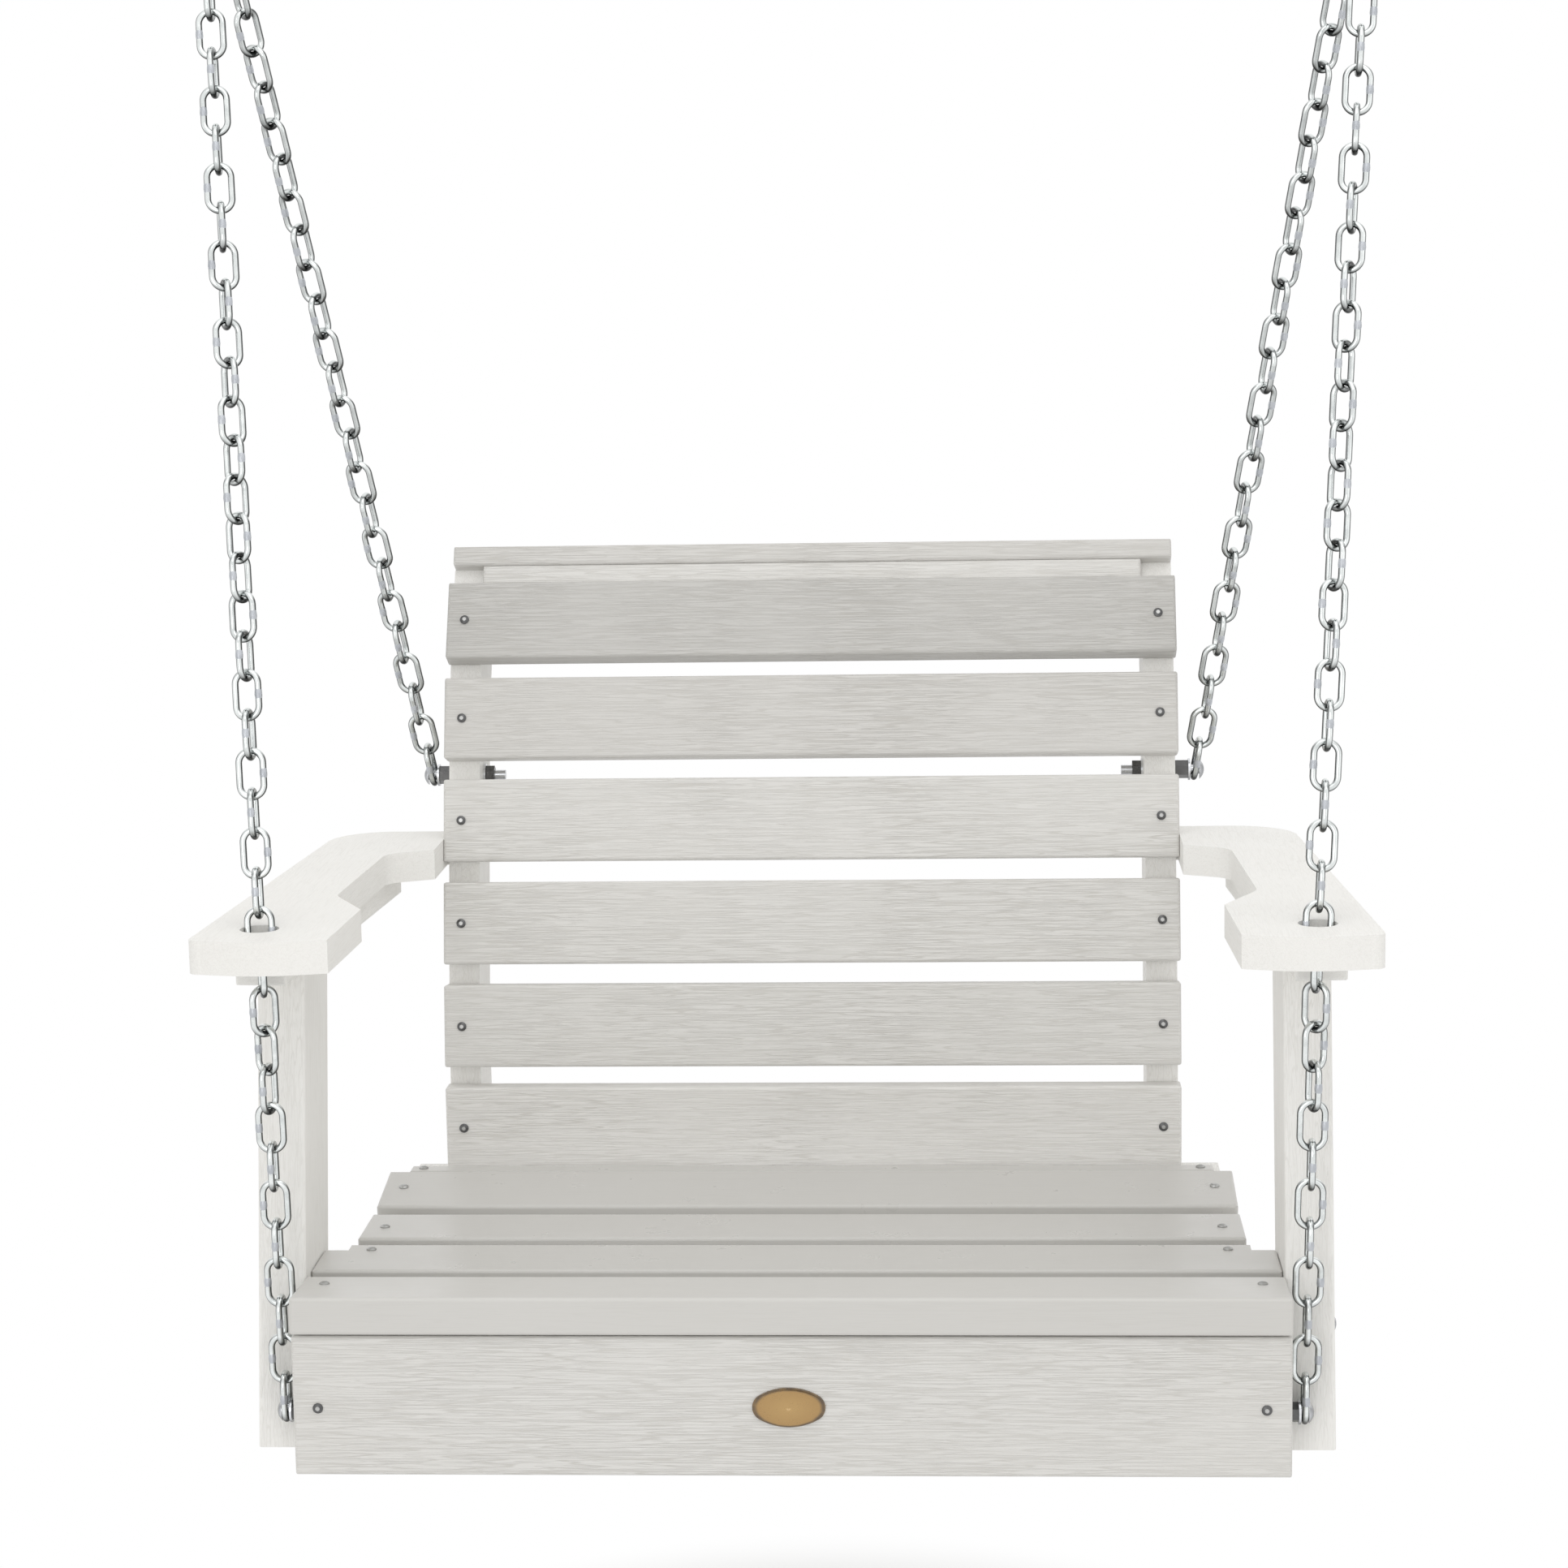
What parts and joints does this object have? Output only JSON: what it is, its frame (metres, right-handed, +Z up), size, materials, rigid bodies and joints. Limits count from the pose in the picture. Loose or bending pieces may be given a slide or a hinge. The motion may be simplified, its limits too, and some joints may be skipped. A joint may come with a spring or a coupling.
{
  "type": "porch swing seat",
  "caption": "White slatted single-seat porch swing with curved back, bowed arms and leaning posts, hung by pairs of chains from ceiling screw eyes.",
  "frame": {"origin": "on the ceiling plane, midway between the two hangers", "axes": "+X across the seat to the right seen from the front, +Y from the front of the seat to its back, +Z up"},
  "size_m": [0.896, 0.6001, 1.2955],
  "materials": {
    "board": "white synthetic wood, embossed fine grain, satin",
    "zinc": "bright zinc-plated steel wire, slightly uneven plating",
    "dark_zinc": "dull dark plated steel",
    "screw": "grey coated steel pan heads",
    "badge": "bare domed oval in muted gold with a darker rim"
  },
  "bodies": {
    "ceiling": {"left_hanger": "zinc", "right_hanger": "zinc"},
    "swing": {"left_ring": "zinc", "right_ring": "zinc", "left_front_chain": "zinc", "right_front_chain": "zinc", "left_rear_chain": "zinc", "right_rear_chain": "zinc", "front_chain_bolts": "zinc", "rear_chain_bolts": "zinc", "bolt_spacers": "dark_zinc", "bolt_washers": "zinc", "bolt_nuts": "zinc", "left_seat_rail": "board", "right_seat_rail": "board", "left_packer": "board", "right_packer": "board", "left_post": "board", "right_post": "board", "post_bolts": "zinc", "left_upright": "board", "right_upright": "board", "upright_bolts": "zinc", "left_arm": "board", "right_arm": "board", "left_cleat": "board", "right_cleat": "board", "arm_screws": "screw", "apron": "board", "apron_screws": "screw", "front_slat": "board", "seat_slat_2": "board", "seat_slat_3": "board", "seat_slat_4": "board", "seat_batten": "board", "seat_screws": "screw", "back_slat_1": "board", "back_slat_2": "board", "back_slat_3": "board", "back_slat_4": "board", "back_slat_5": "board", "back_slat_6": "board", "back_screws": "screw", "top_rail": "board", "cap_strip": "board", "cap_board": "board", "cap_screws": "screw", "badge": "badge"}
  },
  "joints": [
    {"name": "swing", "type": "hinge", "parent": "ceiling", "child": "swing", "pos_m": [0, 0, -0.053], "axis": [1, 0, 0], "range_deg": [-25, 25]}
  ]
}
